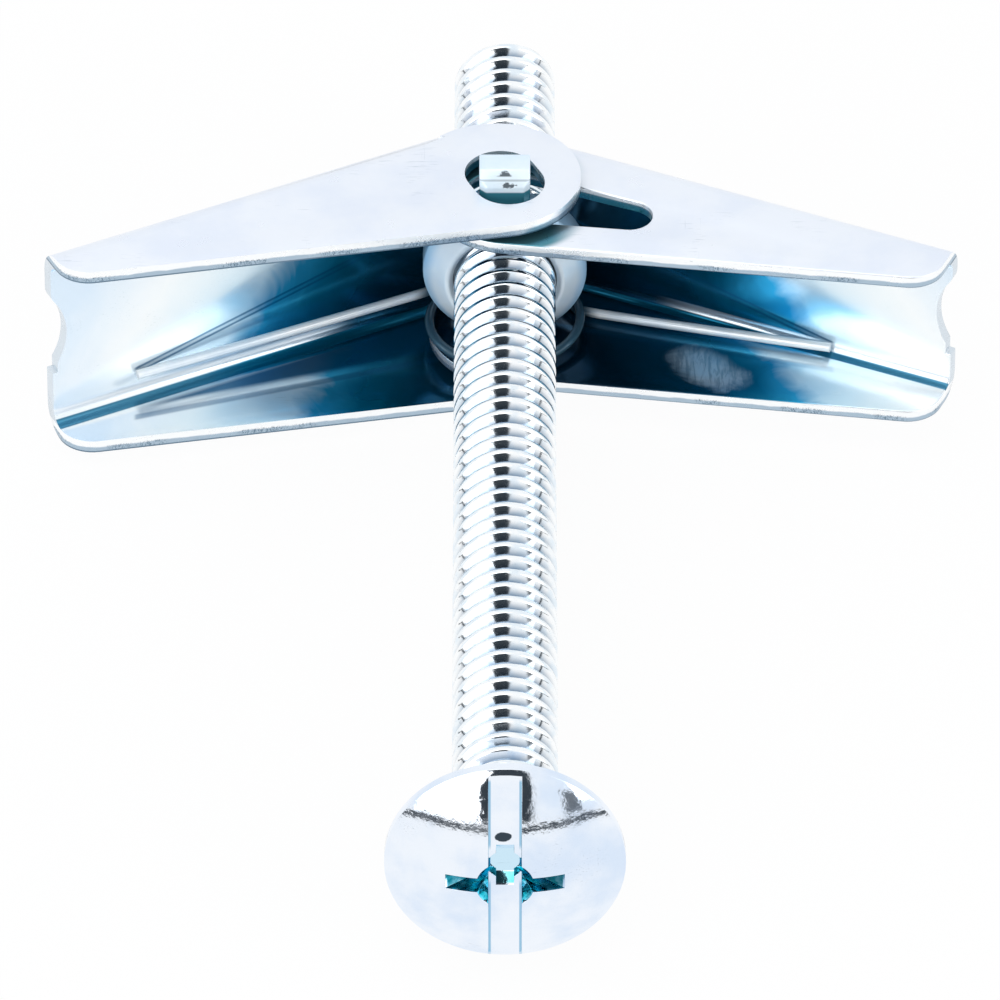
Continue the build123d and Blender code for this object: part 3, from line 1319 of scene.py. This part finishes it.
@dataclass
class Studio:
    """Floor, world light, lamps and camera.

    The camera looks at the point aim_across and aim_along, from elevation degrees above it.
    Reflections alone see the stands and a dark ring on the floor, between table_edge's two radii.
    """

    WHITE = (1.0, 1.0, 1.0, 1.0)
    DARK = (0.01, 0.02, 0.03, 1.0)
    MATTE = (0.92, 0.92, 0.93, 1.0)
    SKY = (0.97, 0.985, 1.0, 1.0)
    FLOOR_METRES = 6.0

    elevation: float = 38.593
    distance: float = 849.8
    aim_along: float = 33.24
    aim_across: float = -0.292
    lens: float = 509.0
    floor_level: float = -8.16
    table_edge: Pair = (105.0, 240.0)
    stands: tuple[Stand, ...] = (
        Stand(heading=-0.06, half_width=0.315, soft=0.045, top=0.83, strength=1.0),
        Stand(heading=0.74, half_width=0.125, soft=0.025, top=0.25, strength=0.85),
        Stand(heading=-0.85, half_width=0.09, soft=0.02, top=0.27, strength=0.6),
    )

    def build(self) -> None:
        """Set up everything that isn't the part."""
        bpy.context.scene.view_settings.view_transform = "Standard"
        self.build_floor()
        self.build_world()
        self.build_lamps()
        self.build_camera()

    def build_floor(self) -> None:
        """A pale floor that camera rays see as white where no shadow falls."""
        place = (0, 0, self.floor_level * MM)
        bpy.ops.mesh.primitive_plane_add(size=self.FLOOR_METRES, location=place)
        floor = bpy.context.object
        floor.name = "studio_floor"
        material = bpy.data.materials.new("studio_floor")
        material.use_nodes = True
        graph = Graph(material.node_tree)
        camera, glossy = graph.light_path("Is Camera Ray"), graph.light_path("Is Glossy Ray")
        matte = graph.node("ShaderNodeBsdfDiffuse", {}, {"Color": self.MATTE})
        across, along, _ = graph.axes()
        reach = across.hypot(along)
        near, far = self.table_edge
        edge = reach.between(near, near + 12) * reach.between(far + 30, far)
        edge = edge * along.between(10.0, -40.0) * glossy
        tone = graph.mix(edge, self.WHITE, self.DARK)
        glow = graph.node("ShaderNodeEmission", {}, {"Color": tone, "Strength": 1.0})
        seen = camera * 0.94 + glossy * 0.97
        graph.output(graph.node("ShaderNodeMixShader", {}, {0: seen, 1: matte, 2: glow}))
        floor.data.materials.append(material)

    def build_world(self) -> None:
        """Even pale light, with a few darker places that only reflections see."""
        world = bpy.data.worlds.new("studio")
        bpy.context.scene.world = world
        world.use_nodes = True
        graph = Graph(world.node_tree)
        way = graph.node("ShaderNodeTexCoord", {}, {}, "Generated")
        east, north, up = (
            graph.node("ShaderNodeSeparateXYZ", {}, {0: way}, axis) for axis in ("X", "Y", "Z")
        )
        heading = east / (north * -1.0).at_least(0.001)
        shapes = [
            abs(heading - stand.heading).below(stand.half_width, stand.soft)
            * up.below(stand.top, 0.03)
            * stand.strength
            for stand in self.stands
        ]
        dark = reduce(Value.at_least, shapes) * north.between(0.0, -0.2) * 0.97
        camera, glossy = graph.light_path("Is Camera Ray"), graph.light_path("Is Glossy Ray")
        colour = graph.mix(dark * glossy, self.SKY, self.DARK)
        strength = (camera + glossy) * 0.25 + 0.75
        sky = graph.node("ShaderNodeBackground", {}, {"Color": colour, "Strength": strength})
        graph.output(sky, "ShaderNodeOutputWorld")

    def build_lamps(self) -> None:
        """Three broad soft lamps: above, in front and to the side. Their places are in metres."""
        for name, place, size, power in (
            ("soft_top", (-0.25, -0.1, 0.9), 0.9, 2.4),
            ("soft_front", (-0.5, -0.8, 0.3), 0.7, 2.6),
            ("soft_side", (0.8, -0.5, 0.4), 0.6, 1.6),
        ):
            bpy.ops.object.light_add(type="AREA", location=place)
            lamp = bpy.context.object
            lamp.name = name
            lamp.data.size = size
            lamp.data.energy = power
            aim = Vector((0, self.aim_along * MM, 0)) - Vector(place)
            lamp.rotation_euler = aim.to_track_quat("-Z", "Y").to_euler()

    def build_camera(self) -> None:
        """Camera at the photograph's angle."""
        angle = math.radians(self.elevation)
        back = self.distance * math.cos(angle)
        rise = self.distance * math.sin(angle)
        bpy.ops.object.camera_add(
            location=(self.aim_across * MM, (self.aim_along - back) * MM, rise * MM),
            rotation=(math.pi / 2 - angle, 0, 0),
        )
        camera = bpy.context.object
        camera.data.lens = self.lens
        bpy.context.scene.camera = camera


def main() -> None:
    """Build every sub-assembly and the studio."""
    logging.basicConfig(level=logging.INFO, format="%(message)s")
    outer_wing = FoldedWing(
        node="outer_wing", piece="wing_outer", axes=WingAxes(side=-1, droop=26.7),
        width=13.9, web_distance=6.6, bend_inside=1.0, look=ChannelLook(leg_reach=22.7),
    )
    inner_wing = FoldedWing(
        node="inner_wing", piece="wing_inner", axes=WingAxes(side=1, droop=24.15),
        width=11.2, web_distance=6.95, bend_inside=0.7, plate=ShadedEar,
        look=ChannelLook(
            leg_reach=20.2, web_lead=-2.4, flange_lead=-0.6, flange_slope=1.0,
            image_strength=0.4, patch_strength=1.0,
        ),
    )
    pieces = [
        *ThreadedScrew().build(),
        outer_wing.build(),
        inner_wing.build(),
        TrunnionNut().build(),
        *TorsionSpring().build(),
    ]
    for piece in pieces:
        log.info("%s: %d faces", piece.name, len(piece.data.polygons))
    Studio().build()


if __name__ == "__main__":
    main()
